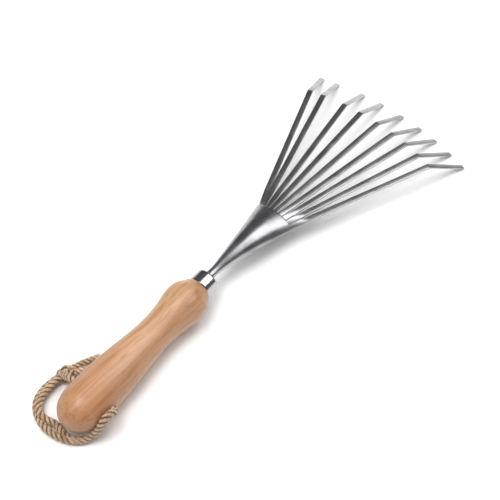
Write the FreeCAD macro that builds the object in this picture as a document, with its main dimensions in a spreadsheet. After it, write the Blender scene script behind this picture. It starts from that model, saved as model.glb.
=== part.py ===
import FreeCAD, Part
import math
import os
import re
import Sketcher
from FreeCAD import Placement, Rotation, Vector

# Hand fan rake: nine flat steel tines under a pressed steel head shell, a tang in a ferruled
# wooden handle, and a jute hang loop through the handle's cord hole.
#
# The head lies along +X and the rake stands on Z = 0, on its tine tips and the butt of its handle.
# "Tool frame": X = 0 at the front face of the ferrule, and Y = 0 on the middle line of the head.
# The row's own origin is ahead of that, at the bottom centre of the box round the steel and wood.

DIMENSIONS = {
    # where the tool frame stands in the row's frame
    "origin_ahead": 37.615,
    "axis_height": 19.05,
    "handle_tilt": 1.0,
    "handle_skew": 2.0,
    # wooden handle, turned; distances are back from the ferrule's front face
    "shoulder_back": 11.1,
    "shoulder_radius": 9.2,
    "front_bulge_back": 27.5,
    "front_bulge_radius": 15.6,
    "waist_back": 51.0,
    "waist_radius": 12.5,
    "grip_back": 89.0,
    "grip_radius": 15.2,
    "butt_bulge_back": 126.0,
    "butt_bulge_radius": 16.8,
    "butt_back": 147.8,
    "spigot_radius": 8.05,
    "spigot_front_back": 1.0,
    "tang_bore_radius": 2.5,
    "tang_bore_back": 62.0,
    "cord_hole_back": 119.0,
    "cord_hole_radius": 3.4,
    # ferrule, a drawn steel cap
    "ferrule_length": 10.8,
    "ferrule_radius": 9.0,
    "ferrule_bore_radius": 8.1,
    "ferrule_face": 0.9,
    "ferrule_mouth_radius": 2.5,
    "ferrule_edge_radius": 1.6,
    # tang, a round steel spike
    "tang_radius": 2.45,
    "tang_point_back": 60.0,
    "tang_taper_back": 50.0,
    "tang_neck_radius": 1.9,
    "tang_tip_radius": 1.6,
    "tang_tip_ahead": 13.0,
    # head shell, a pressed half-cone of sheet
    "shell_sheet": 0.8,
    "neck_radius": 3.3,
    "neck_start": 0.25,
    "neck_raise": 1.0,
    "neck_aside": 0.6,
    "flare_start": 9.6,
    "flare_blend": 5.0,
    "shell_front": 72.2,
    "shell_half_width": 16.6,
    "shell_rise": 7.2,
    "shell_swell": 2.4,
    "shell_crest": 25.7,
    # tines, cold-rolled strip
    "tine_width": 4.2,
    "tine_sheet": 1.2,
    "tine_root_width": 3.5,
    "tine_seat_width": 2.6,
    "tine_seat": 8.0,
    "seat_gap": 0.3,
    "tine_twist": 16.0,
    "tine_reach": 117.4,
    "tine_tip_reach": 33.0,
    "tine_bend_height": 20.6,
    "tine_bend_radius": 2.2,
    "fan_step": 5.36,
    "root_step": 10.6,
    # hang loop, three-strand jute cord
    "cord_diameter": 5.4,
    "knot_length": 13.0,
    "knot_width": 12.0,
    "knot_height": 11.0,
}

TINE_COUNT = 9
SHELL_SECTIONS = 9
# the seats roll a little further at their far ends, where the shell is more tightly curved
SEAT_ROLL_SHARE = 1.04
# How far each tine leans from its even place in the fan, in degrees: they are set by hand.
TINE_LEANS = (0.0, 1.4, -0.7, -0.6, -1.3, -1.5, -0.9, -0.7, 0.0)

# The hang loop's route, in millimetres from the middle of the cord hole, with heights from the
# floor. It leaves the hole on the handle's right, drops to the floor, passes behind the butt and
# comes up the left side to the knot, and a short run joins the knot to the hole's left mouth.
HANG_ROUTE = (
    (2.5, 31.5, 7.0),
    (-0.3, 23.0, 17.0),
    (0.3, -20.5, 17.0),
    (-10.6, -20.9, 17.5),
    (-16.6, -18.7, 9.2),
    (-22.5, -14.1, 3.6),
    (-28.5, -7.2, 2.8),
    (-32.2, 1.5, 2.8),
    (-33.7, 11.0, 2.8),
    (-32.4, 20.2, 2.8),
    (-28.2, 28.4, 2.8),
    (-21.6, 34.2, 2.8),
    (-13.6, 36.2, 2.8),
    (-6.2, 35.8, 3.2),
    (0.5, 34.0, 4.3),
)
# A second strand is laid in under the butt, crosses to the left and lies on the loop to the knot.
INNER_ROUTE = (
    (-26.0, -9.8, 2.8),
    (-28.6, -4.4, 2.8),
    (-29.2, 1.2, 2.8),
    (-28.0, 5.8, 2.8),
    (-26.6, 10.8, 3.0),
    (-28.2, 16.2, 3.8),
    (-29.6, 21.2, 5.4),
    (-27.2, 26.2, 6.4),
    (-22.4, 30.0, 6.6),
    (-16.0, 32.2, 6.4),
    (-9.0, 33.0, 6.2),
    (-2.5, 32.8, 6.0),
    (3.0, 32.2, 5.8),
)
KNOT_CENTRE = (4.6, 31.6, 5.6)
LONG_TAIL_ROUTE = ((9.5, 31.5, 5.6), (15.5, 29.6, 5.4), (23.0, 26.8, 4.2), (30.5, 23.8, 2.9))
SHORT_TAIL_ROUTE = ((9.0, 28.6, 4.4), (13.5, 26.3, 3.6), (18.5, 23.6, 2.9))


doc = FreeCAD.newDocument("fan_rake")
sheet = doc.addObject("Spreadsheet::Sheet", "dims")
for row, (alias, number) in enumerate(DIMENSIONS.items(), start=1):
    sheet.set("A%d" % row, alias)
    sheet.set("B%d" % row, "%g" % number)
    sheet.setAlias("B%d" % row, alias)
doc.recompute()


def size(alias):
    """A driving dimension, read from the sheet."""
    return float(sheet.get(alias))


def amount(formula):
    """The value of a signed sum of aliases, such as '-butt_back+neck_radius'."""
    total = 0.0
    for sign, alias in re.findall(r"([+-]?)([a-z_]+)", formula):
        total += -size(alias) if sign == "-" else size(alias)
    return total


def bound(formula):
    """The same sum as a FreeCAD expression on the sheet's cells."""
    return re.sub(r"([a-z_]+)", r"dims.\1", formula)


def tool_place(local=None):
    """Put a placement of the tool frame into the row's frame."""
    frame = Placement(Vector(-size("origin_ahead"), 0, 0), Rotation())
    return frame if local is None else frame.multiply(local)


def handle_place():
    """The handle's axis: its X runs forward along the wood, skewed and tilted at the ferrule."""
    skew = Rotation(Vector(0, 0, 1), size("handle_skew"))
    tilt = Rotation(Vector(0, 1, 0), -size("handle_tilt"))
    return tool_place(Placement(Vector(0, 0, size("axis_height")), skew.multiply(tilt)))


def new_body(label, placement):
    body = doc.addObject("PartDesign::Body", label)
    body.Label = label
    body.Placement = placement
    return body


def new_sketch(body, name, role, offset=None):
    """An empty sketch on one of the body's origin planes."""
    sketch = body.newObject("Sketcher::SketchObject", name)
    plane = next(item for item in body.Origin.OriginFeatures if item.Role == role)
    sketch.AttachmentSupport = (plane, [""])
    sketch.MapMode = "FlatFace"
    if offset is not None:
        sketch.AttachmentOffset = offset
    return sketch


def lock(sketch, geometry, vertex, formulas):
    """Hold one end of a sketch line at a place given by two sums of sheet cells."""
    for kind, formula in zip(("DistanceX", "DistanceY"), formulas):
        if formula == "":
            on_axis = -2 if kind == "DistanceX" else -1
            sketch.addConstraint(Sketcher.Constraint("PointOnObject", geometry, vertex, on_axis))
            continue
        value = amount(formula)
        index = sketch.addConstraint(Sketcher.Constraint(kind, -1, 1, geometry, vertex, value))
        sketch.setExpression("Constraints[%d]" % index, bound(formula))


def spot(formulas):
    """A sketch point from two sums of sheet cells; an empty sum is zero."""
    return Vector(amount(formulas[0]), amount(formulas[1]), 0)


def outline(sketch, corners, curves=None):
    """A closed outline through corners; curves maps a corner's index to the curve that leaves it."""
    curves = curves or {}
    for index, corner in enumerate(corners):
        following = corners[(index + 1) % len(corners)]
        curve = curves.get(index, Part.LineSegment(spot(corner), spot(following)))
        sketch.addGeometry(curve, False)
    for index, corner in enumerate(corners):
        if index not in curves:
            lock(sketch, index, 1, corner)
            if (index + 1) % len(corners) in curves:
                lock(sketch, index, 2, corners[(index + 1) % len(corners)])


def revolve(body, sketch):
    """Turn an outline all the way round the body's X axis."""
    turned = body.newObject("PartDesign::Revolution", "turned_" + body.Label)
    turned.Profile = sketch
    turned.ReferenceAxis = (sketch, ["H_Axis"])
    turned.Angle = 360.0
    return turned


def handle_curve():
    """The turned outside of the wood, from the shoulder over both bulges to the butt's pole."""
    butt = size("butt_back")
    bulge = size("butt_bulge_back")
    radius = size("butt_bulge_radius")
    shoulder = size("shoulder_back")
    front = size("front_bulge_back")
    flank = front - shoulder
    waist = size("waist_back")
    shoulder_radius = size("shoulder_radius")
    front_radius = size("front_bulge_radius")
    places = [
        (shoulder, shoulder_radius),
        (shoulder + 0.22 * flank, shoulder_radius + 0.15 * flank),
        (shoulder + 0.5 * flank, front_radius - 0.08 * flank),
        (front, front_radius),
        (0.585 * front + 0.415 * waist, (front_radius + size("waist_radius")) / 2),
        (waist, size("waist_radius")),
        (size("grip_back"), size("grip_radius")),
        (bulge, radius),
    ]
    # the butt is a blunt dome: radius times the root of 1 - u ** 2.25
    for share in (0.3, 0.56, 0.76, 0.9, 0.97, 0.993):
        places.append((bulge + share * (butt - bulge), radius * math.sqrt(1 - share ** 2.25)))
    places.append((butt, 0.0))
    curve = Part.BSplineCurve()
    points = [Vector(-back, high, 0) for back, high in places]
    leave = Vector(-0.75, 1, 0)
    curve.interpolate(Points=points, InitialTangent=leave, FinalTangent=Vector(0, -1, 0))
    return curve


def make_handle():
    body = new_body("wood_handle", handle_place())
    sketch = new_sketch(body, "handle_profile", "XZ_Plane")
    corners = [
        ("-shoulder_back", "shoulder_radius"),
        ("-butt_back", ""),
        ("-tang_bore_back", ""),
        ("-tang_bore_back+tang_bore_radius", "tang_bore_radius"),
        ("-spigot_front_back", "tang_bore_radius"),
        ("-spigot_front_back", "spigot_radius"),
        ("-shoulder_back", "spigot_radius"),
    ]
    outline(sketch, corners, {0: handle_curve()})
    revolve(body, sketch)
    doc.recompute()
    whole = body.Shape.Volume
    hole = new_sketch(body, "cord_hole_circle", "XZ_Plane")
    middle = Vector(-size("cord_hole_back"), 0, 0)
    hole.addGeometry(Part.Circle(middle, Vector(0, 0, 1), size("cord_hole_radius")), False)
    radius = hole.addConstraint(Sketcher.Constraint("Radius", 0, size("cord_hole_radius")))
    hole.setExpression("Constraints[%d]" % radius, bound("cord_hole_radius"))
    lock(hole, 0, 3, ("-cord_hole_back", ""))
    cut = body.newObject("PartDesign::Pocket", "cord_hole")
    cut.Profile = hole
    cut.Type = "ThroughAll"
    cut.Midplane = True
    doc.recompute()
    removed = whole - body.Shape.Volume
    expected = math.pi * size("cord_hole_radius") ** 2 * 2 * size("butt_bulge_radius")
    print("cord hole removes %.0f mm3 of about %.0f" % (removed, expected))
    return body


def make_ferrule():
    body = new_body("ferrule", handle_place())
    sketch = new_sketch(body, "ferrule_profile", "XZ_Plane")
    corners = [
        ("-ferrule_edge_radius", "ferrule_radius"),
        ("", "ferrule_radius-ferrule_edge_radius"),
        ("", "ferrule_mouth_radius"),
        ("-ferrule_face", "ferrule_mouth_radius"),
        ("-ferrule_face", "ferrule_bore_radius"),
        ("-ferrule_length", "ferrule_bore_radius"),
        ("-ferrule_length", "ferrule_radius"),
    ]
    edge = size("ferrule_edge_radius")
    middle = Vector(-edge, size("ferrule_radius") - edge, 0)
    rolled = Part.ArcOfCircle(Part.Circle(middle, Vector(0, 0, 1), edge), 0, math.pi / 2)
    outline(sketch, corners, {0: rolled})
    revolve(body, sketch)
    return body


def make_tang():
    body = new_body("tang", handle_place())
    sketch = new_sketch(body, "tang_profile", "XZ_Plane")
    corners = [
        ("-tang_point_back", ""),
        ("-tang_taper_back", "tang_radius"),
        ("-spigot_front_back", "tang_radius"),
        ("neck_start", "tang_neck_radius"),
        ("tang_tip_ahead", "tang_tip_radius"),
        ("tang_tip_ahead", ""),
    ]
    outline(sketch, corners)
    revolve(body, sketch)
    return body


def flare_growth(station):
    """A smooth ramp: nearly nothing along the neck, then a straight widening to the front edge."""
    past = station - size("flare_start")
    return (past + math.hypot(past, size("flare_blend"))) / 2


def shell_section(station):
    """Half-width, rise, crest height and sideways place of the shell's outside at a station."""
    share = flare_growth(station) / flare_growth(size("shell_front"))
    # half way along, the crest swells up above an even growth from the neck to the front
    swell = 4 * share * (1 - share) * size("shell_swell")
    half_width = size("neck_radius") + share * (size("shell_half_width") - size("neck_radius"))
    rise = size("neck_radius") + share * (size("shell_rise") - size("neck_radius")) + swell
    neck_crest = size("axis_height") + size("neck_raise") + size("neck_radius")
    crest = neck_crest + share * (size("shell_crest") - neck_crest) + swell
    return half_width, rise, crest, size("neck_aside") * (1 - share)


def arc_of_section(station):
    """Radius, half angle and centre of the shell's outer arc at a station."""
    half_width, rise, crest, aside = shell_section(station)
    radius = (half_width ** 2 + rise ** 2) / (2 * rise)
    return radius, math.atan2(half_width, radius - rise), Vector(aside, crest - radius, 0)


def make_shell():
    """The pressed channel, lofted through evenly spaced arc-shaped bands of sheet."""
    body = new_body("head_shell", tool_place())
    sections = []
    back = size("neck_start")
    front = size("shell_front")
    for number in range(SHELL_SECTIONS):
        share = number / (SHELL_SECTIONS - 1)
        station = share * front + (1 - share) * back
        offset = Placement(Vector(0, 0, station), Rotation())
        sketch = new_sketch(body, "shell_section_%d" % number, "YZ_Plane", offset)
        sketch.setExpression(
            "AttachmentOffset.Base.z",
            "%g * dims.shell_front + %g * dims.neck_start" % (share, 1 - share),
        )
        radius, half_angle, middle = arc_of_section(station)
        right = math.pi / 2 - half_angle
        left = math.pi / 2 + half_angle
        outer_circle = Part.Circle(middle, Vector(0, 0, 1), radius)
        inner_circle = Part.Circle(middle, Vector(0, 0, 1), radius - size("shell_sheet"))
        outer = Part.ArcOfCircle(outer_circle, right, left)
        inner = Part.ArcOfCircle(inner_circle, right, left)
        sketch.addGeometry(outer, False)
        sketch.addGeometry(Part.LineSegment(outer.EndPoint, inner.EndPoint), False)
        sketch.addGeometry(inner, False)
        sketch.addGeometry(Part.LineSegment(inner.StartPoint, outer.StartPoint), False)
        sections.append(sketch)
    loft = body.newObject("PartDesign::AdditiveLoft", "pressed_shell")
    loft.Profile = sections[0]
    loft.Sections = sections[1:]
    loft.Ruled = False
    return body


def rectangle(sketch, centre, width, height, roll):
    """A rolled rectangle: width along the sketch's X before the roll, which is in degrees."""
    turn = Rotation(Vector(0, 0, 1), roll)
    corners = []
    for across, up in ((-1, -1), (1, -1), (1, 1), (-1, 1)):
        corners.append(centre + turn.multVec(Vector(across * width / 2, up * height / 2, 0)))
    for index in range(4):
        sketch.addGeometry(Part.LineSegment(corners[index], corners[(index + 1) % 4]), False)


def root_point(station, roll):
    """A point in the middle of the strip that lies against the shell's underside, rolled to it."""
    radius, _, middle = arc_of_section(station)
    lie = radius - size("shell_sheet") - size("seat_gap") - size("tine_sheet") / 2
    angle = math.radians(roll)
    return Vector(station, middle.x + lie * math.sin(angle), middle.y + lie * math.cos(angle))


def tine_side(sketch, start, drop, reach):
    """The strip seen from its side, from the end of its twist over the bend to its tip.

    start is the middle of the strip where its twist ends, drop is how far the bend stands above
    the root (negative when it is lower), and reach is the root's height above the floor.
    """
    half = size("tine_sheet") / 2
    bend = Vector(size("tine_reach"), drop, 0)
    tip = Vector(size("tine_reach") + size("tine_tip_reach"), 0, 0)
    slope = math.atan2(bend.y - start.y, bend.x - start.x)
    tip.y = -reach
    fall = math.atan2(tip.y - bend.y, tip.x - bend.x)
    tip.y = -reach + half * math.cos(fall)
    fall = math.atan2(tip.y - bend.y, tip.x - bend.x)
    up_main = Vector(-math.sin(slope), math.cos(slope), 0)
    up_tip = Vector(-math.sin(fall), math.cos(fall), 0)
    outward = (up_main + up_tip).normalize()
    radius = size("tine_bend_radius")
    centre = bend - outward * (radius / math.cos((slope - fall) / 2))
    high = radius + half
    low = radius - half
    start_up = Vector(start.x, start.y + half / math.cos(slope), 0)
    start_down = Vector(start.x, start.y - half / math.cos(slope), 0)
    axis = Vector(0, 0, 1)
    begin = slope + math.pi / 2
    end = fall + math.pi / 2
    over = Part.ArcOfCircle(Part.Circle(centre, axis, high), end, begin)
    under = Part.ArcOfCircle(Part.Circle(centre, axis, low), end, begin)
    edges = [
        Part.LineSegment(start_down, start_up),
        Part.LineSegment(start_up, centre + up_main * high),
        over,
        Part.LineSegment(centre + up_tip * high, tip + up_tip * half),
        Part.LineSegment(tip + up_tip * half, tip - up_tip * half),
        Part.LineSegment(tip - up_tip * half, centre + up_tip * low),
        under,
        Part.LineSegment(centre + up_main * low, start_down),
    ]
    for edge in edges:
        sketch.addGeometry(edge, False)
    return slope


def make_tine(number):
    """One strip: a tapered seat under the shell, a twist to the flat, a long run and a bent tip."""
    middle = (TINE_COUNT - 1) / 2
    place = middle - (number - 1)
    roll = place * size("root_step")
    heading = place * size("fan_step") + TINE_LEANS[number - 1]
    root = root_point(size("shell_front"), roll)
    turn = Rotation(Vector(0, 0, 1), heading)
    body = new_body("tine_%d" % number, tool_place(Placement(root, turn)))
    # the seat's far end, found on the shell's underside and brought into the strip's own frame
    seat_roll = roll * SEAT_ROLL_SHARE
    back = root_point(size("shell_front") - size("tine_seat"), seat_roll)
    seat = turn.inverted().multVec(back - root)
    drop = size("tine_bend_height") - root.z
    slope = math.atan2(drop, size("tine_reach"))
    twist_end = Vector(size("tine_twist"), size("tine_twist") * math.tan(slope), 0)
    sections = [
        (seat.x, Vector(seat.y, seat.z, 0), "tine_seat_width", -seat_roll),
        (0.0, Vector(0, 0, 0), "tine_root_width", -roll),
        (twist_end.x, Vector(0, twist_end.y, 0), "tine_width", 0.0),
    ]
    sketches = []
    for count, (station, centre, width, tip_roll) in enumerate(sections):
        offset = Placement(Vector(0, 0, station), Rotation())
        sketch = new_sketch(body, "strip_%d_%d" % (number, count), "YZ_Plane", offset)
        sheet_height = size("tine_sheet")
        if count == 2:
            sheet_height = size("tine_sheet") / math.cos(slope)
            sketch.setExpression("AttachmentOffset.Base.z", bound("tine_twist"))
        rectangle(sketch, centre, size(width), sheet_height, tip_roll)
        sketches.append(sketch)
    loft = body.newObject("PartDesign::AdditiveLoft", "root_%d" % number)
    loft.Profile = sketches[0]
    loft.Sections = sketches[1:]
    loft.Ruled = True
    side = new_sketch(body, "side_%d" % number, "XZ_Plane")
    tine_side(side, twist_end, drop, root.z)
    blade = body.newObject("PartDesign::Pad", "blade_%d" % number)
    blade.Profile = side
    blade.Midplane = True
    blade.setExpression("Length", bound("tine_width"))
    return body


def rounded_path(points, label):
    """Straight runs joined by arcs as large as 0.45 of the shorter run beside them allows."""
    edges = []
    radii = []
    start = points[0]
    for before, corner, after in zip(points, points[1:], points[2:]):
        toward = (before - corner).normalize()
        away = (after - corner).normalize()
        setback = 0.45 * min((before - corner).Length, (after - corner).Length)
        half_turn = (math.pi - toward.getAngle(away)) / 2
        radii.append(setback / math.tan(half_turn))
        enter = corner + toward * setback
        leave = corner + away * setback
        inward = (toward + away).normalize()
        middle = corner + inward * (radii[-1] / math.cos(half_turn) - radii[-1])
        edges.append(Part.LineSegment(start, enter).toShape())
        edges.append(Part.Arc(enter, middle, leave).toShape())
        start = leave
    edges.append(Part.LineSegment(start, points[-1]).toShape())
    print("%s radii: %s" % (label, " ".join("%.1f" % radius for radius in radii)))
    return Part.Wire(edges)


def hole_middle():
    """The middle of the cord hole, above the floor, in the row's frame."""
    place = handle_place()
    return place.multVec(Vector(-size("cord_hole_back"), 0, 0))


def route_points(route):
    """Route points turned with the handle and carried to the cord hole; heights stay as they are."""
    skew = Rotation(Vector(0, 0, 1), size("handle_skew"))
    hole = hole_middle()
    return [Vector(hole.x, hole.y, 0) + skew.multVec(Vector(*point)) for point in route]


def make_cord(label, route):
    """A round tube along a route of straight runs and arcs."""
    path = rounded_path(route_points(route), label)
    radius = size("cord_diameter") / 2
    first = path.Edges[0]
    ring = Part.Circle(first.firstVertex().Point, first.tangentAt(first.FirstParameter), radius)
    pipe = Part.BRepOffsetAPI.MakePipeShell(path)
    pipe.add(Part.Wire(ring.toShape()))
    pipe.build()
    pipe.makeSolid()
    cord = doc.addObject("Part::Feature", label)
    cord.Label = label
    cord.Shape = pipe.shape()
    cord.Placement = Placement()
    section = math.pi * radius ** 2 * path.Length
    print("%s: length %.1f mm" % (label, path.Length))
    print("%s: volume %.0f of %.0f mm3" % (label, cord.Shape.Volume, section))
    return cord


def make_knot():
    """The overhand knot's outer shape."""
    knot = doc.addObject("Part::Ellipsoid", "cord_knot")
    knot.Label = "cord_knot"
    knot.setExpression("Radius1", "dims.knot_height / 2")
    knot.setExpression("Radius2", "dims.knot_length / 2")
    knot.setExpression("Radius3", "dims.knot_width / 2")
    knot.Angle1 = -90
    knot.Angle2 = 90
    knot.Angle3 = 360
    centre = route_points([KNOT_CENTRE])[0]
    knot.Placement = Placement(centre, Rotation(Vector(0, 0, 1), size("handle_skew")))
    return knot


def check_and_write(pieces):
    """Stop on any failed object or bad shape, then write one STEP file for each piece."""
    for item in doc.Objects:
        bad = [state for state in item.State if state in ("Invalid", "Error")]
        if bad:
            raise RuntimeError("%s is %s" % (item.Label, bad))
    os.makedirs("parts", exist_ok=True)
    box = FreeCAD.BoundBox()
    for piece in pieces:
        shape = piece.Shape
        if shape.isNull() or not shape.isValid() or len(shape.Solids) != 1:
            raise RuntimeError("%s has no single valid solid" % piece.Label)
        shape.exportStep("parts/%s.step" % piece.Label)
        if "cord" not in piece.Label:
            box.add(shape.BoundBox)
    limits = (box.XMin, box.XMax, box.YMin, box.YMax, box.ZMin, box.ZMax)
    print("box without cord: x %.2f %.2f y %.2f %.2f z %.2f %.2f" % limits)


pieces = [make_handle(), make_ferrule(), make_tang(), make_shell()]
for number in range(1, TINE_COUNT + 1):
    pieces.append(make_tine(number))
pieces.append(make_cord("hang_cord", HANG_ROUTE))
pieces.append(make_cord("cord_inner_strand", INNER_ROUTE))
pieces.append(make_knot())
pieces.append(make_cord("cord_tail_long", LONG_TAIL_ROUTE))
pieces.append(make_cord("cord_tail_short", SHORT_TAIL_ROUTE))
doc.recompute()
check_and_write(pieces)
hole = hole_middle()
print("cord hole middle: %.3f %.3f %.3f" % (hole.x, hole.y, hole.z))
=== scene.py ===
import bpy
import math
import random
from mathutils import Matrix, Quaternion, Vector


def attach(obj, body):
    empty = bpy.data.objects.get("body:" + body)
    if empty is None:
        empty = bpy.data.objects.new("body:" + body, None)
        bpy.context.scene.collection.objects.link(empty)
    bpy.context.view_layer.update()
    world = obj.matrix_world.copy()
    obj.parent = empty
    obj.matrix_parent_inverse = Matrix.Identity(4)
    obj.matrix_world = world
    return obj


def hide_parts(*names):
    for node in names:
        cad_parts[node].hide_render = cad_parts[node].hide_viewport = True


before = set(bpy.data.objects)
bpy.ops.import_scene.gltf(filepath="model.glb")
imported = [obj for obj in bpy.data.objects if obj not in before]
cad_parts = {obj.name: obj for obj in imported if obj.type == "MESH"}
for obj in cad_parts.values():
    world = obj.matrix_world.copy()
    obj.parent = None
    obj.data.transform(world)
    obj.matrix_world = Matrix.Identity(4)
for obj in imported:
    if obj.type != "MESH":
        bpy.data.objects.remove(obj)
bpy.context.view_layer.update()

# Millimetres in this file become metres through MM. The tool frame has X = 0 at the ferrule's
# front face; the row's origin is ORIGIN_AHEAD in front of it.
MM = 0.001
ORIGIN_AHEAD = 37.615
HOLE_MIDDLE = Vector((-156.524, -4.152, 16.973))
HANDLE_SKEW = math.radians(2.0)
HANDLE_TILT = math.radians(1.0)
AXIS_HEIGHT = 19.05


# ---------------------------------------------------------------- camera

def make_camera():
    """The camera stands behind the handle's right side and looks down on the rake."""
    azimuth = math.radians(40.90)
    elevation = math.radians(54.61)
    distance = 1.0
    target = Vector((10.185, 3.0, 0.0)) * MM
    ahead = Vector((math.cos(azimuth), math.sin(azimuth), 0))
    right = Vector((math.sin(azimuth), -math.cos(azimuth), 0))
    look = ahead * math.cos(elevation) - Vector((0, 0, 1)) * math.sin(elevation)
    up = ahead * math.sin(elevation) + Vector((0, 0, 1)) * math.cos(elevation)
    data = bpy.data.cameras.new("camera")
    data.lens = 98.71
    data.sensor_width = 36.0
    data.clip_start = 0.01
    camera = bpy.data.objects.new("camera", data)
    bpy.context.scene.collection.objects.link(camera)
    place = Matrix((right, up, -look)).transposed().to_4x4()
    place.translation = target - look * distance
    camera.matrix_world = place
    bpy.context.scene.camera = camera


make_camera()


# ---------------------------------------------------------------- mesh helpers

def link_mesh(name, points, faces, material):
    """A new smooth-shaded mesh object from points in metres."""
    mesh = bpy.data.meshes.new(name)
    mesh.from_pydata([tuple(point) for point in points], [], faces)
    mesh.update()
    mesh.polygons.foreach_set("use_smooth", [True] * len(mesh.polygons))
    mesh.materials.append(material)
    piece = bpy.data.objects.new(name, mesh)
    bpy.context.scene.collection.objects.link(piece)
    return piece


def skin(rings, closed_ends=True):
    """Points and faces of a tube through rings that all have the same number of points."""
    count = len(rings[0])
    points = [point for ring in rings for point in ring]
    faces = []
    for row in range(len(rings) - 1):
        for column in range(count):
            beside = (column + 1) % count
            low = row * count
            high = low + count
            faces.append((low + column, low + beside, high + beside, high + column))
    if closed_ends:
        faces.append(tuple(reversed(range(count))))
        last = (len(rings) - 1) * count
        faces.append(tuple(range(last, last + count)))
    return points, faces


def gather(points, faces, rings):
    """Add the tube through these rings to the points and faces gathered so far."""
    base = len(points)
    tube_points, tube_faces = skin(rings)
    points.extend(tube_points)
    faces.extend(tuple(base + corner for corner in face) for face in tube_faces)


def shares(steps, first=0):
    """Even shares from first / steps up to 1."""
    return [step / steps for step in range(first, steps + 1)]


def smooth_step(share):
    """The share, held between 0 and 1 and eased at both ends."""
    share = min(max(share, 0.0), 1.0)
    return share * share * (3 - 2 * share)


# ---------------------------------------------------------------- node helpers

def new_material(name):
    """A material with its node tree and the Principled shader in it."""
    material = bpy.data.materials.new(name)
    material.use_nodes = True
    tree = material.node_tree
    shader = next(node for node in tree.nodes if node.type == "BSDF_PRINCIPLED")
    return material, tree, shader


def add(tree, kind, **settings):
    """A node with its plain settings, and its unlinked inputs given by a dict named values."""
    node = tree.nodes.new(kind)
    values = settings.pop("values", {})
    for key, value in settings.items():
        setattr(node, key, value)
    for key, value in values.items():
        node.inputs[key].default_value = value
    return node


def place_coordinates(tree, scale, turn=(0, 0, 0)):
    """Object coordinates, turned and scaled."""
    coordinates = add(tree, "ShaderNodeTexCoord")
    mapping = add(tree, "ShaderNodeMapping", values={"Scale": scale, "Rotation": turn})
    tree.links.new(coordinates.outputs["Object"], mapping.inputs["Vector"])
    return mapping.outputs["Vector"]


def noise(tree, vector, detail, roughness, distortion=0.0):
    """Noise from coordinates that are already scaled."""
    values = {"Scale": 1.0, "Detail": detail, "Roughness": roughness, "Distortion": distortion}
    node = add(tree, "ShaderNodeTexNoise", values=values)
    tree.links.new(vector, node.inputs["Vector"])
    return node.outputs["Fac"]


def ramp(tree, factor, stops):
    """A colour ramp from (place, colour) pairs."""
    node = add(tree, "ShaderNodeValToRGB")
    elements = node.color_ramp.elements
    while len(elements) < len(stops):
        elements.new(0.5)
    for element, (place, colour) in zip(elements, stops):
        element.position = place
        element.color = (*colour, 1.0)
    tree.links.new(factor, node.inputs["Fac"])
    return node.outputs["Color"]


def mix(tree, factor, first, second, blend="MIX"):
    """Two colours mixed; each input is a socket, a number or a colour."""
    node = add(tree, "ShaderNodeMix", data_type="RGBA", blend_type=blend)
    # a Mix node has sockets for each kind of data: 0 is its factor, 6 and 7 are its two colours,
    # and output 2 is the mixed colour
    for place, value in ((0, factor), (6, first), (7, second)):
        socket = node.inputs[place]
        if isinstance(value, (int, float)):
            socket.default_value = value
        elif isinstance(value, tuple):
            socket.default_value = (*value, 1.0)
        else:
            tree.links.new(value, socket)
    return node.outputs[2]


def fit(tree, value, low, high):
    """A 0 to 1 value spread over low to high."""
    node = add(tree, "ShaderNodeMapRange", values={"To Min": low, "To Max": high})
    tree.links.new(value, node.inputs["Value"])
    return node.outputs["Result"]


def bump(tree, height, strength, distance, normal=None):
    """A normal from a height, laid over another normal if there is one."""
    node = add(tree, "ShaderNodeBump", values={"Strength": strength, "Distance": distance})
    tree.links.new(height, node.inputs["Height"])
    if normal is not None:
        tree.links.new(normal, node.inputs["Normal"])
    return node.outputs["Normal"]


# ---------------------------------------------------------------- materials

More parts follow.
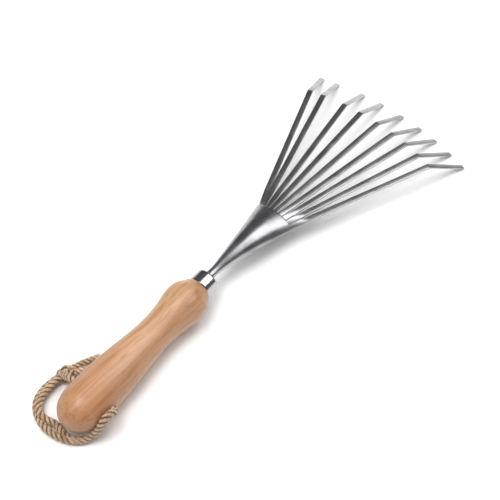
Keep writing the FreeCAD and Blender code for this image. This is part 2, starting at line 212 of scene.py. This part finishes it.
def wood_material():
    """Lacquered pale orange-pink hardwood, its grain running along the handle."""
    material, tree, shader = new_material("turned_wood")
    turn = (0, HANDLE_TILT, -HANDLE_SKEW)
    broad = noise(tree, place_coordinates(tree, (5, 42, 42), turn), 3.0, 0.5, 0.6)
    streaks = noise(tree, place_coordinates(tree, (14, 420, 420), turn), 5.0, 0.6, 0.4)
    pores = noise(tree, place_coordinates(tree, (90, 1900, 1900), turn), 2.0, 0.5)
    patches = noise(tree, place_coordinates(tree, (16, 26, 26), turn), 2.0, 0.5)
    base = ramp(tree, broad, [
        (0.28, (0.420, 0.222, 0.112)),
        (0.45, (0.520, 0.312, 0.182)),
        (0.60, (0.585, 0.375, 0.245)),
        (0.76, (0.460, 0.268, 0.152)),
    ])
    fine = ramp(tree, streaks, [
        (0.32, (0.70, 0.60, 0.52)),
        (0.52, (1.0, 1.0, 1.0)),
        (0.72, (1.10, 1.08, 1.06)),
    ])
    dark = ramp(tree, pores, [(0.28, (0.62, 0.52, 0.44)), (0.42, (1.0, 1.0, 1.0))])
    pink = ramp(tree, patches, [(0.35, (0.98, 0.88, 0.74)), (0.65, (1.05, 1.02, 1.06))])
    colour = mix(tree, 0.75, base, fine, "MULTIPLY")
    colour = mix(tree, 0.45, colour, dark, "MULTIPLY")
    colour = mix(tree, 0.8, colour, pink, "MULTIPLY")
    # the wood turns golden towards the butt
    along = add(tree, "ShaderNodeSeparateXYZ")
    tree.links.new(place_coordinates(tree, (1, 1, 1)), along.inputs["Vector"])
    golden_reach = {"From Min": -0.10, "From Max": -0.165}
    near_butt = add(tree, "ShaderNodeMapRange", values=golden_reach)
    tree.links.new(along.outputs["X"], near_butt.inputs["Value"])
    golden = mix(tree, 1.0, colour, (0.84, 0.68, 0.52), "MULTIPLY")
    colour = mix(tree, near_butt.outputs["Result"], colour, golden)
    tree.links.new(colour, shader.inputs["Base Color"])
    tree.links.new(fit(tree, streaks, 0.34, 0.52), shader.inputs["Roughness"])
    lathe = noise(tree, place_coordinates(tree, (700, 12, 12), turn), 2.0, 0.5)
    normal = bump(tree, pores, 0.25, 0.00006)
    normal = bump(tree, lathe, 0.10, 0.00005, normal)
    tree.links.new(normal, shader.inputs["Normal"])
    shader.inputs["Coat Weight"].default_value = 0.30
    shader.inputs["Coat Roughness"].default_value = 0.30
    shader.inputs["Coat IOR"].default_value = 1.5
    return material


def steel_material(name, tint, brush_scale, rough_low, rough_high, anisotropy):
    """Rolled or pressed steel: fine lines, cloudy roughness and a few dull specks."""
    material, tree, shader = new_material(name)
    lines = noise(tree, place_coordinates(tree, brush_scale), 3.0, 0.6)
    clouds = noise(tree, place_coordinates(tree, (60, 60, 60)), 4.0, 0.6)
    specks = noise(tree, place_coordinates(tree, (900, 900, 900)), 2.0, 0.5)
    dull = tuple(channel * 0.72 for channel in tint)
    light = tuple(min(channel * 1.12, 1.0) for channel in tint)
    colour = ramp(tree, clouds, [(0.30, dull), (0.50, tint), (0.72, light)])
    spots = ramp(tree, specks, [(0.26, (0.55, 0.53, 0.50)), (0.34, (1.0, 1.0, 1.0))])
    colour = mix(tree, 0.6, colour, spots, "MULTIPLY")
    tree.links.new(colour, shader.inputs["Base Color"])
    tree.links.new(fit(tree, clouds, rough_low, rough_high), shader.inputs["Roughness"])
    tree.links.new(bump(tree, lines, 0.12, 0.00003), shader.inputs["Normal"])
    shader.inputs["Metallic"].default_value = 1.0
    shader.inputs["Anisotropic"].default_value = anisotropy
    return material


def jute_material():
    """Rough tan plant fibre with painted shade in the hollows between its plies, and pale stray
    fibres.
    """
    material, tree, shader = new_material("jute")
    fibres = noise(tree, place_coordinates(tree, (1500, 1500, 1500)), 5.0, 0.7, 0.8)
    clumps = noise(tree, place_coordinates(tree, (260, 260, 260)), 3.0, 0.6)
    colour = ramp(tree, fibres, [
        (0.25, (0.150, 0.085, 0.048)),
        (0.43, (0.460, 0.315, 0.205)),
        (0.58, (0.700, 0.530, 0.370)),
        (0.76, (0.930, 0.790, 0.620)),
    ])
    shade = ramp(tree, clumps, [(0.32, (0.62, 0.55, 0.48)), (0.60, (1.08, 1.04, 1.0))])
    colour = mix(tree, 0.8, colour, shade, "MULTIPLY")
    outwards = add(tree, "ShaderNodeAttribute", attribute_name="outwards")
    # painted shade: points nearer the rope's middle, down in the hollows between the plies, are
    # darkened
    hollow_shade = ramp(tree, outwards.outputs["Fac"], [
        (0.34, (0.06, 0.04, 0.03)),
        (0.43, (0.34, 0.26, 0.20)),
        (0.49, (1.0, 1.0, 1.0)),
    ])
    colour = mix(tree, 0.9, colour, hollow_shade, "MULTIPLY")
    tree.links.new(colour, shader.inputs["Base Color"])
    shader.inputs["Roughness"].default_value = 0.88
    shader.inputs["Sheen Weight"].default_value = 0.25
    shader.inputs["Sheen Roughness"].default_value = 0.5
    tree.links.new(bump(tree, fibres, 0.7, 0.0003), shader.inputs["Normal"])
    return material


WOOD = wood_material()
FERRULE_STEEL = steel_material(
    "polished_ferrule",
    tint=(0.52, 0.50, 0.51),
    brush_scale=(900, 60, 60),
    rough_low=0.17,
    rough_high=0.24,
    anisotropy=0.2,
)
SHELL_STEEL = steel_material(
    "shell_steel",
    tint=(0.44, 0.44, 0.46),
    brush_scale=(40, 900, 900),
    rough_low=0.27,
    rough_high=0.36,
    anisotropy=0.3,
)
TINE_STEEL = steel_material(
    "tine_steel",
    tint=(0.50, 0.50, 0.51),
    brush_scale=(50, 1400, 1400),
    rough_low=0.25,
    rough_high=0.34,
    anisotropy=0.5,
)
JUTE = jute_material()


# ---------------------------------------------------------------- hanging cord

# How thick the cord is, and its knot and loose ends, in millimetres.
CORD = 5.4
TAIL = 4.6
# A laid rope, in shares of its thickness: how far a ply's centre is from the rope's middle, a ply's
# radius, and the length of one lump of its yarn. The rest are counts.
PLY_OFFSET = 0.245
PLY_RADIUS = 0.258
LUMP_LENGTH = 1.15
PLIES = 3
PLY_SIDES = 16
SECTIONS_PER_THICKNESS = 11
# Stray fibres, in metres: their radius at the start, bend and end, and how low they may reach.
FIBRE_RADII = (0.00009, 0.00007, 0.00003)
FIBRE_FLOOR = 0.00025
# In shares of the cord's thickness: how far from its middle a stray fibre starts, and the length
# of half a fibre before chance makes it shorter or longer.
FIBRE_START = 0.44
FIBRE_HALF_LENGTH = 0.25
# The cord's route in millimetres from the middle of the cord hole, turned with the handle, with
# heights from the floor. Two points on the straight run through the hole keep it in the middle.
HANG_ROUTE = (
    (2.5, 31.5, 7.0),
    (-0.3, 23.0, 17.0),
    (-0.1, 9.6, 17.0),
    (0.1, -9.0, 17.0),
    (0.3, -20.0, 17.4),
    (-4.0, -20.0, 22.0),
    (-9.8, -19.6, 22.0),
    (-14.2, -18.6, 15.5),
    (-17.4, -16.4, 9.0),
    (-22.0, -13.2, 4.2),
    (-28.3, -7.4, 2.8),
    (-32.2, 1.5, 2.8),
    (-33.7, 11.0, 2.8),
    (-32.4, 20.2, 2.8),
    (-28.2, 28.4, 2.8),
    (-21.6, 34.2, 2.8),
    (-13.6, 36.2, 2.8),
    (-6.2, 35.8, 3.2),
    (0.5, 34.0, 4.3),
)
INNER_ROUTE = (
    (-26.0, -9.8, 2.8),
    (-28.6, -4.4, 2.8),
    (-29.2, 1.2, 2.8),
    (-28.0, 5.8, 2.8),
    (-26.6, 10.8, 3.0),
    (-28.2, 16.2, 3.8),
    (-29.6, 21.2, 5.4),
    (-27.2, 26.2, 6.4),
    (-22.4, 30.0, 6.6),
    (-16.0, 32.2, 6.4),
    (-9.0, 33.0, 6.2),
    (-2.5, 32.8, 6.0),
    (3.0, 32.2, 5.8),
)
KNOT_CENTRE = (4.6, 31.6, 5.6)
# A three-lobed knot: its half sizes along each direction are up to 3, 3 and 1 times these.
KNOT_SPREAD = (1.58, 1.46, 2.3)
KNOT_POINTS = 18
LONG_TAIL_ROUTE = ((9.5, 31.5, 5.6), (15.5, 29.6, 5.4), (23.0, 26.8, 4.2), (30.5, 23.8, 2.9))
SHORT_TAIL_ROUTE = ((9.0, 28.6, 4.4), (13.5, 26.3, 3.6), (18.5, 23.6, 2.9))


def from_hole(point):
    """A point given from the cord hole, in the row's frame in metres."""
    turned = Matrix.Rotation(HANDLE_SKEW, 3, "Z") @ Vector(point)
    return Vector((HOLE_MIDDLE.x + turned.x, HOLE_MIDDLE.y + turned.y, turned.z)) * MM


def follow(points, closed=False):
    """Evenly smooth points along the NURBS spline that has these control points."""
    data = bpy.data.curves.new("route", "CURVE")
    data.dimensions = "3D"
    spline = data.splines.new("NURBS")
    spline.points.add(len(points) - 1)
    for control, point in zip(spline.points, points):
        control.co = (*point, 1.0)
    spline.order_u = 3
    spline.use_endpoint_u = not closed
    spline.use_cyclic_u = closed
    spline.resolution_u = 12
    holder = bpy.data.objects.new("route", data)
    bpy.context.scene.collection.objects.link(holder)
    bpy.context.view_layer.update()
    shaped = holder.evaluated_get(bpy.context.evaluated_depsgraph_get())
    line = bpy.data.meshes.new_from_object(shaped)
    route = [vertex.co.copy() for vertex in line.vertices]
    bpy.data.objects.remove(holder)
    bpy.data.meshes.remove(line)
    return route


def even(route, step):
    """The same line with its points a fixed step apart."""
    lengths = [0.0]
    for first, second in zip(route, route[1:]):
        lengths.append(lengths[-1] + (second - first).length)
    count = max(int(round(lengths[-1] / step)), 4)
    spaced = []
    index = 0
    for number in range(count + 1):
        along = lengths[-1] * number / count
        while index < len(route) - 2 and lengths[index + 1] < along:
            index += 1
        span = lengths[index + 1] - lengths[index]
        share = (along - lengths[index]) / span if span > 0 else 0.0
        spaced.append(route[index].lerp(route[index + 1], share))
    return spaced


def frames_along(route):
    """Tangent, side and up at each point, carried along without twisting."""
    frames = []
    up = Vector((0, 0, 1))
    for index in range(len(route)):
        before = route[max(index - 1, 0)]
        after = route[min(index + 1, len(route) - 1)]
        tangent = (after - before).normalized()
        up = (up - tangent * up.dot(tangent)).normalized()
        frames.append((tangent, tangent.cross(up), up))
    return frames


def set_outwards(piece, depths):
    """Tell the jute material how far each point is from its rope's middle, in thicknesses; it
    paints shade on the deeper points, in the hollows between the plies.
    """
    outwards = piece.data.attributes.new("outwards", "FLOAT", "POINT")
    outwards.data.foreach_set("value", depths)


def rope(name, route, thick=CORD * MM, pitch=2.2, open_end=0.0, phase=0.0):
    """A laid rope: plies wound round a route, each of them a ridged yarn.

    pitch is the length of one turn of the lay, and open_end is how far the plies of the last
    stretch spread apart, both as shares of the thickness.
    """
    route = even(route, thick / SECTIONS_PER_THICKNESS)
    frames = frames_along(route)
    points = []
    faces = []
    depths = []
    length = sum((b - a).length for a, b in zip(route, route[1:]))
    step = length / (len(route) - 1)
    opening = 3.0 * thick
    for strand in range(PLIES):
        rings = []
        centres = []
        for index, (place, (_, side, up)) in enumerate(zip(route, frames)):
            along = index * step
            spread = open_end * smooth_step(1 - (length - along) / opening)
            angle = phase - math.tau * (along / (pitch * thick) + strand / PLIES)
            away = thick * (PLY_OFFSET + spread)
            centres.append(place + (side * math.cos(angle) + up * math.sin(angle)) * away)
        for index, (centre, (_, side, up)) in enumerate(zip(centres, frames_along(centres))):
            ridge = math.tau * index * step / (LUMP_LENGTH * thick)
            outline = []
            for number in range(PLY_SIDES):
                turn = math.tau * number / PLY_SIDES
                # five broad ridges wind one way round the ply, and seven faint ones the other way
                lump = 1.0 + 0.08 * math.cos(5 * turn + ridge)
                lump += 0.03 * math.sin(7 * turn - 2.3 * ridge)
                radius = thick * PLY_RADIUS * lump
                corner = centre + (side * math.cos(turn) + up * math.sin(turn)) * radius
                outline.append(corner)
                # how deep the point lies, which the jute material turns into painted shade in the
                # hollows
                depths.append((corner - route[index]).length / thick)
            rings.append(outline)
        gather(points, faces, rings)
    piece = link_mesh(name, points, faces, JUTE)
    set_outwards(piece, depths)
    return piece


def stray_fibres(name, route, count, seed):
    """Thin jute hairs standing off the cord, each a bent three-sided sliver."""
    thick = CORD * MM
    chance = random.Random(seed)
    route = even(route, thick / 4)
    frames = frames_along(route)
    points = []
    faces = []
    for _ in range(count):
        index = chance.randrange(2, len(route) - 2)
        tangent, side, up = frames[index]
        angle = chance.uniform(0, math.tau)
        out = side * math.cos(angle) + up * math.sin(angle)
        lean = tangent * chance.uniform(-1.6, 1.6) + out * chance.uniform(0.25, 0.7)
        half_reach = chance.uniform(0.5, 1.2) * thick * FIBRE_HALF_LENGTH
        start = route[index] + out * thick * FIBRE_START
        bend = start + lean.normalized() * half_reach + out * half_reach * 0.2
        end = bend + (lean + out * chance.uniform(-0.6, 0.4)).normalized() * half_reach
        rings = []
        for place, radius in zip((start, bend, end), FIBRE_RADII):
            place.z = max(place.z, FIBRE_FLOOR)
            rings.append([
                place + (side * math.cos(turn) + tangent * math.sin(turn)) * radius
                for turn in (0.0, math.tau / 3, 2 * math.tau / 3)
            ])
        gather(points, faces, rings)
    piece = link_mesh(name, points, faces, JUTE)
    # at half a thickness out, the jute material paints no shade on the stray fibres
    set_outwards(piece, [0.5] * len(points))
    return piece


def make_hanging_cord():
    """The loop, the second strand, the knot, the two loose ends and their stray fibres."""
    loop_line = follow([from_hole(point) for point in HANG_ROUTE])
    loop = rope("loop_rope", loop_line)
    inner_line = follow([from_hole(point) for point in INNER_ROUTE])
    inner = rope("inner_rope", inner_line, phase=2.0)
    centre = from_hole(KNOT_CENTRE)
    turns = []
    wide, high, deep = KNOT_SPREAD
    for number in range(KNOT_POINTS):
        angle = math.tau * number / KNOT_POINTS
        reach = 2.0 + math.cos(3 * angle)
        turns.append(centre + Vector((
            wide * reach * math.cos(2 * angle),
            high * reach * math.sin(2 * angle),
            deep * math.sin(3 * angle),
        )) * MM)
    knot_line = follow(turns, closed=True)
    knot_line.append(knot_line[0].copy())
    knot = rope("loop_knot", knot_line, thick=TAIL * MM, pitch=2.3)
    long_line = follow([from_hole(point) for point in LONG_TAIL_ROUTE])
    short_line = follow([from_hole(point) for point in SHORT_TAIL_ROUTE])
    long_tail = rope("tail_long", long_line, thick=TAIL * MM, open_end=0.06)
    short_tail = rope("tail_short", short_line, thick=TAIL * MM, open_end=0.08, phase=1.0)
    hairs = stray_fibres("loop_fibres", loop_line, count=150, seed=11)
    tail_hairs = stray_fibres("tail_fibres", long_line, count=40, seed=12)
    going_with = [inner, knot, long_tail, short_tail, hairs, tail_hairs]
    for piece in [loop] + going_with:
        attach(piece, "hang_loop")
    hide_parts("hang_cord")
    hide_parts("cord_inner_strand")
    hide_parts("cord_knot")
    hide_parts("cord_tail_long")
    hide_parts("cord_tail_short")


make_hanging_cord()


# ---------------------------------------------------------------- head

# The shell, the tines and the ferrule repeat the sizes of the CAD's spreadsheet, in millimetres
# and degrees.
SHELL_SHEET = 0.8
NECK_RADIUS = 3.3
NECK_START = 0.25
NECK_RAISE = 1.0
NECK_ASIDE = 0.6
FLARE_START = 9.6
FLARE_BLEND = 5.0
SHELL_FRONT = 72.2
SHELL_HALF_WIDTH = 16.6
SHELL_RISE = 7.2
SHELL_SWELL = 2.4
SHELL_CREST = 25.7
TINE_WIDTH = 4.2
TINE_SHEET = 1.2
TINE_ROOT_WIDTH = 3.5
TINE_SEAT_WIDTH = 2.6
TINE_SEAT = 8.0
SEAT_GAP = 0.3
SEAT_ROLL_SHARE = 1.04
TINE_TWIST = 16.0
TINE_REACH = 117.4
TINE_TIP_REACH = 33.0
TINE_BEND_HEIGHT = 20.6
TINE_BEND_RADIUS = 2.2
FAN_STEP = 5.36
ROOT_STEP = 10.6
# How far each tine turns from its even place in the fan, from the first tine to the ninth.
TINE_LEANS = (0.0, 1.4, -0.7, -0.6, -1.3, -1.5, -0.9, -0.7, 0.0)
# The ferrule's radii are its outside, its bore, the hole for the tang and its rolled front edge.
FERRULE_LENGTH = 10.8
FERRULE_RADIUS = 9.0
FERRULE_BORE_RADIUS = 8.1
FERRULE_FACE = 0.9
FERRULE_MOUTH_RADIUS = 2.5
FERRULE_EDGE_RADIUS = 1.6
# How much the sheet edges of the visual pieces are eased, and how finely each piece is divided.
SHELL_EASE = 0.22
TINE_EASE = 0.30
SHELL_ACROSS = 56
SHELL_ALONG = 90
FERRULE_AROUND = 128


def in_row(point):
    """A tool-frame point in millimetres, in the row's frame in metres."""
    return Vector((point.x - ORIGIN_AHEAD, point.y, point.z)) * MM


def flare_growth(station):
    """How far the flare has opened at a station, before it is scaled."""
    past = station - FLARE_START
    return (past + math.hypot(past, FLARE_BLEND)) / 2


def shell_arc(station):
    """Radius, half angle, sideways place and centre height of the shell's outer arc."""
    share = flare_growth(station) / flare_growth(SHELL_FRONT)
    swell = 4 * share * (1 - share) * SHELL_SWELL
    half_width = NECK_RADIUS + share * (SHELL_HALF_WIDTH - NECK_RADIUS)
    rise = NECK_RADIUS + share * (SHELL_RISE - NECK_RADIUS) + swell
    neck_crest = AXIS_HEIGHT + NECK_RAISE + NECK_RADIUS
    crest = neck_crest + share * (SHELL_CREST - neck_crest) + swell
    radius = (half_width ** 2 + rise ** 2) / (2 * rise)
    half_angle = math.atan2(half_width, radius - rise)
    return radius, half_angle, NECK_ASIDE * (1 - share), crest - radius


def make_shell():
    """The pressed head shell, with eased sheet edges."""
    # each eased edge has one corner between its ends, at lip from the sheet's face and its edge
    ease = SHELL_EASE
    lip = ease * 0.3
    start = NECK_START + ease
    run = SHELL_FRONT - NECK_START - 2 * ease
    stations = [NECK_START, NECK_START + lip]
    stations += [start + run * share for share in shares(SHELL_ALONG)]
    stations += [SHELL_FRONT - lip, SHELL_FRONT]
    inset_at_end = {0: ease, 1: ease * 0.35}
    rings = []
    for number, station in enumerate(stations):
        radius, half_angle, aside, height = shell_arc(station)
        inset = inset_at_end.get(min(number, len(stations) - 1 - number), 0.0)
        outer = radius - inset
        inner = radius - SHELL_SHEET + inset
        flat_end = half_angle - ease / radius
        lip_end = half_angle - lip / radius
        sweep = [(2 * share - 1) * flat_end for share in shares(SHELL_ACROSS)]
        outline = [(outer, angle) for angle in sweep]
        outline += [(outer - lip, lip_end), (outer - ease, half_angle)]
        outline += [(inner + ease, half_angle), (inner + lip, lip_end)]
        outline += [(inner, -angle) for angle in sweep]
        outline += [(inner + lip, -lip_end), (inner + ease, -half_angle)]
        outline += [(outer - ease, -half_angle), (outer - lip, -lip_end)]
        ring = []
        for away, angle in outline:
            sideways = aside - away * math.sin(angle)
            ring.append(in_row(Vector((station, sideways, height + away * math.cos(angle)))))
        rings.append(ring)
    points, faces = skin(rings)
    piece = link_mesh("pressed_shell", points, faces, SHELL_STEEL)
    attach(piece, "rake")
    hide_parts("head_shell")


def root_point(station, roll):
    """The middle of a strip that lies under the shell, in the tool frame."""
    radius, _, aside, height = shell_arc(station)
    lie = radius - SHELL_SHEET - SEAT_GAP - TINE_SHEET / 2
    return Vector((station, aside + lie * math.sin(roll), height + lie * math.cos(roll)))


def tine_line(number):
    """Stations down one tine: centre, width direction, sheet normal, width, in its own frame."""
    place = (len(TINE_LEANS) - 1) / 2 - (number - 1)
    roll = math.radians(place * ROOT_STEP)
    heading = math.radians(place * FAN_STEP + TINE_LEANS[number - 1])
    root = root_point(SHELL_FRONT, roll)
    turn = Matrix.Rotation(heading, 3, "Z")
    back = turn.inverted() @ (root_point(SHELL_FRONT - TINE_SEAT, roll * SEAT_ROLL_SHARE) - root)
    drop = TINE_BEND_HEIGHT - root.z
    slope = math.atan2(drop, TINE_REACH)
    half = TINE_SHEET / 2
    bend = Vector((TINE_REACH, 0, drop))
    tip = Vector((TINE_REACH + TINE_TIP_REACH, 0, -root.z))
    fall = math.atan2(tip.z - bend.z, tip.x - bend.x)
    tip.z = half * math.cos(fall) - root.z
    fall = math.atan2(tip.z - bend.z, tip.x - bend.x)
    stations = []

    def station(centre, angle, lean, width):
        """One cross-section: angle is the strip's slope, lean its roll about its own length."""
        along = Vector((math.cos(angle), 0, math.sin(angle)))
        flat_side = Vector((0, 1, 0))
        normal = flat_side.cross(along) * -1
        side = flat_side * math.cos(lean) - normal * math.sin(lean)
        stations.append((centre, side, side.cross(along) * -1, width))

    # the seat under the shell, then the stretch that twists flat
    seat_lean = roll * SEAT_ROLL_SHARE
    for share in shares(4):
        width = TINE_SEAT_WIDTH + share * (TINE_ROOT_WIDTH - TINE_SEAT_WIDTH)
        station(back * (1 - share), 0.0, seat_lean + share * (roll - seat_lean), width)
    for share in shares(16, first=1):
        centre = Vector((TINE_TWIST * share, 0, TINE_TWIST * math.tan(slope) * share))
        width = TINE_ROOT_WIDTH + share * (TINE_WIDTH - TINE_ROOT_WIDTH)
        station(centre, slope, roll * (1 - share), width)
    # the straight run, which ends where the bend's arc starts, and the bend
    middle_up = Vector((-math.sin(slope) - math.sin(fall), 0, math.cos(slope) + math.cos(fall)))
    reach = TINE_BEND_RADIUS / math.cos((slope - fall) / 2)
    pivot = bend - middle_up.normalized() * reach
    start = Vector((TINE_TWIST, 0, TINE_TWIST * math.tan(slope)))
    arc_start = pivot + Vector((-math.sin(slope), 0, math.cos(slope))) * TINE_BEND_RADIUS
    for share in shares(12, first=1)[:-1]:
        station(start.lerp(arc_start, share), slope, 0.0, TINE_WIDTH)
    for share in shares(8):
        angle = slope + (fall - slope) * share
        up = Vector((-math.sin(angle), 0, math.cos(angle)))
        station(pivot + up * TINE_BEND_RADIUS, angle, 0.0, TINE_WIDTH)
    # from the bend to just before the tip
    arc_end = stations[-1][0]
    for share in (0.25, 0.5, 0.75, 0.94):
        station(arc_end.lerp(tip, share), fall, 0.0, TINE_WIDTH)
    run = (tip - arc_end).normalized()
    # the tip's corners are cut off a little: how far back from the tip, and how much narrower
    for back_off, loss in ((0.9, 0.0), (0.45, 0.25), (0.12, 0.75), (0.0, 1.4)):
        station(tip - run * back_off, fall, 0.0, TINE_WIDTH - loss)
    return stations, turn, root


def make_tine(number):
    """One tine: strip with eased edges, twisted at its root and bent down at its end."""
    stations, turn, root = tine_line(number)
    half = TINE_SHEET / 2
    ease = TINE_EASE
    # each corner of the cross-section: its two signs, and four directions round its eased edge
    corners = []
    for across_sign, up_sign, start in ((1, 1, 0), (-1, 1, 90), (-1, -1, 180), (1, -1, 270)):
        for step in range(4):
            angle = math.radians(start + 30 * step)
            corners.append((across_sign, up_sign, math.cos(angle), math.sin(angle)))
    rings = []
    thinner_ends = {0: 0.12, len(stations) - 1: 0.18}
    for index, (centre, side, up, width) in enumerate(stations):
        thin = thinner_ends.get(index, 0.0)
        ring = []
        for across_sign, up_sign, ahead, above in corners:
            across = across_sign * (width / 2 - ease) + ahead * ease
            high = up_sign * (half - ease - thin) + above * ease
            ring.append(in_row(turn @ (centre + side * across + up * high) + root))
        rings.append(ring)
    points, faces = skin(rings)
    piece = link_mesh("strip_%d" % number, points, faces, TINE_STEEL)
    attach(piece, "rake")
    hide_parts("tine_%d" % number)


def handle_frame(point):
    """A point of the handle's own frame in millimetres, in the row's frame in metres."""
    turn = Matrix.Rotation(HANDLE_SKEW, 3, "Z") @ Matrix.Rotation(-HANDLE_TILT, 3, "Y")
    return in_row(turn @ Vector(point) + Vector((0, 0, AXIS_HEIGHT)))


def make_ferrule():
    """The drawn ferrule, with a rolled front edge, a mouth for the tang and an eased back edge."""
    outside = FERRULE_RADIUS
    edge = FERRULE_EDGE_RADIUS
    back = -FERRULE_LENGTH
    mouth = FERRULE_MOUTH_RADIUS
    # the eased back edge
    profile = [
        (back, FERRULE_BORE_RADIUS),
        (back, outside - 0.25),
        (back + 0.15, outside - 0.08),
        (back + 0.4, outside),
    ]
    # the straight barrel, then the rolled front edge
    barrel = back + 1.0
    for share in shares(8):
        profile.append((barrel + (-edge - barrel) * share, outside))
    for share in shares(8, first=1):
        angle = math.pi / 2 * share
        profile.append((edge * (math.sin(angle) - 1), outside - edge * (1 - math.cos(angle))))
    # the front face, and the mouth with its small rounding
    for radius in (6.2, 5.0, 4.0, 3.2, mouth + 0.25):
        profile.append((0.0, radius))
    profile += [(-0.08, mouth + 0.07), (-0.25, mouth)]
    profile += [(-FERRULE_FACE, mouth), (-FERRULE_FACE, FERRULE_BORE_RADIUS)]
    around = FERRULE_AROUND
    rings = []
    for place, radius in profile:
        ring = []
        for number in range(around):
            angle = math.tau * number / around
            ring.append(handle_frame((place, radius * math.cos(angle), radius * math.sin(angle))))
        rings.append(ring)
    points, faces = skin(rings, closed_ends=False)
    last = (len(rings) - 1) * around
    for column in range(around):
        beside = (column + 1) % around
        faces.append((last + column, last + beside, beside, column))
    piece = link_mesh("ferrule_cap", points, faces, FERRULE_STEEL)
    piece.data.set_sharp_from_angle(angle=math.radians(40))
    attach(piece, "rake")
    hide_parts("ferrule")


def cover_cad(node, material):
    """Give a kept CAD node its finish."""
    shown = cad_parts[node]
    if not shown.material_slots:
        shown.data.materials.append(material)
    for slot in shown.material_slots:
        slot.link = "OBJECT"
        slot.material = material


make_shell()
for tine_number in range(1, len(TINE_LEANS) + 1):
    make_tine(tine_number)
make_ferrule()
cover_cad("wood_handle", WOOD)
cover_cad("tang", TINE_STEEL)


# ---------------------------------------------------------------- floor and light

# In metres: half the floor's side, and how far below the frame's floor it lies.
FLOOR_REACH = 6.0
FLOOR_DROP = 0.0001


def make_floor():
    """A wide pale floor just below the rake."""
    material, _, shader = new_material("pale_floor")
    shader.inputs["Base Color"].default_value = (0.93, 0.93, 0.93, 1.0)
    shader.inputs["Roughness"].default_value = 0.9
    shader.inputs["Specular IOR Level"].default_value = 0.1
    reach = FLOOR_REACH
    corners = [(-reach, -reach, 0), (reach, -reach, 0), (reach, reach, 0), (-reach, reach, 0)]
    floor = link_mesh("floor", [Vector(corner) for corner in corners], [(0, 1, 2, 3)], material)
    floor.location.z = -FLOOR_DROP


def area_light(name, toward, distance, size, power, tall=None, roll=0.0):
    """A rectangular light that stands in a direction from the rake and faces it.

    tall is its second side, where that isn't the same as the first, and roll turns it in degrees.
    """
    data = bpy.data.lights.new(name, "AREA")
    data.shape = "RECTANGLE"
    data.size = size
    data.size_y = tall or size
    data.energy = power
    light = bpy.data.objects.new(name, data)
    bpy.context.scene.collection.objects.link(light)
    direction = Vector(toward).normalized()
    light.location = direction * distance
    light.visible_camera = False
    turn = direction.to_track_quat("Z", "Y") @ Quaternion((0, 0, 1), math.radians(roll))
    light.rotation_euler = turn.to_euler()
    return light


def make_light():
    """Plain studio light: a dim room, two lights that show in the steel and two that don't."""
    world = bpy.data.worlds.new("room")
    bpy.context.scene.world = world
    world.use_nodes = True
    background = world.node_tree.nodes["Background"]
    background.inputs["Color"].default_value = (1.0, 1.0, 1.0, 1.0)
    background.inputs["Strength"].default_value = 0.13
    area_light("key", (-0.26, 0.05, 0.96), distance=1.5, size=0.6, power=9)
    area_light(
        "stripe", (0.44, -0.31, 0.84), distance=1.5, size=0.45, power=8, tall=1.4, roll=-49.0
    )
    fill = area_light("fill", (-0.10, 0.24, 0.96), distance=2.0, size=3.2, power=43)
    side = area_light("side", (0.25, -0.90, 0.42), distance=2.0, size=2.0, power=3)
    # the two soft lights give shape to the wood and cord, and don't show in the steel
    for soft in (fill, side):
        soft.visible_glossy = False
    bpy.context.scene.view_settings.view_transform = "Standard"


make_floor()
make_light()
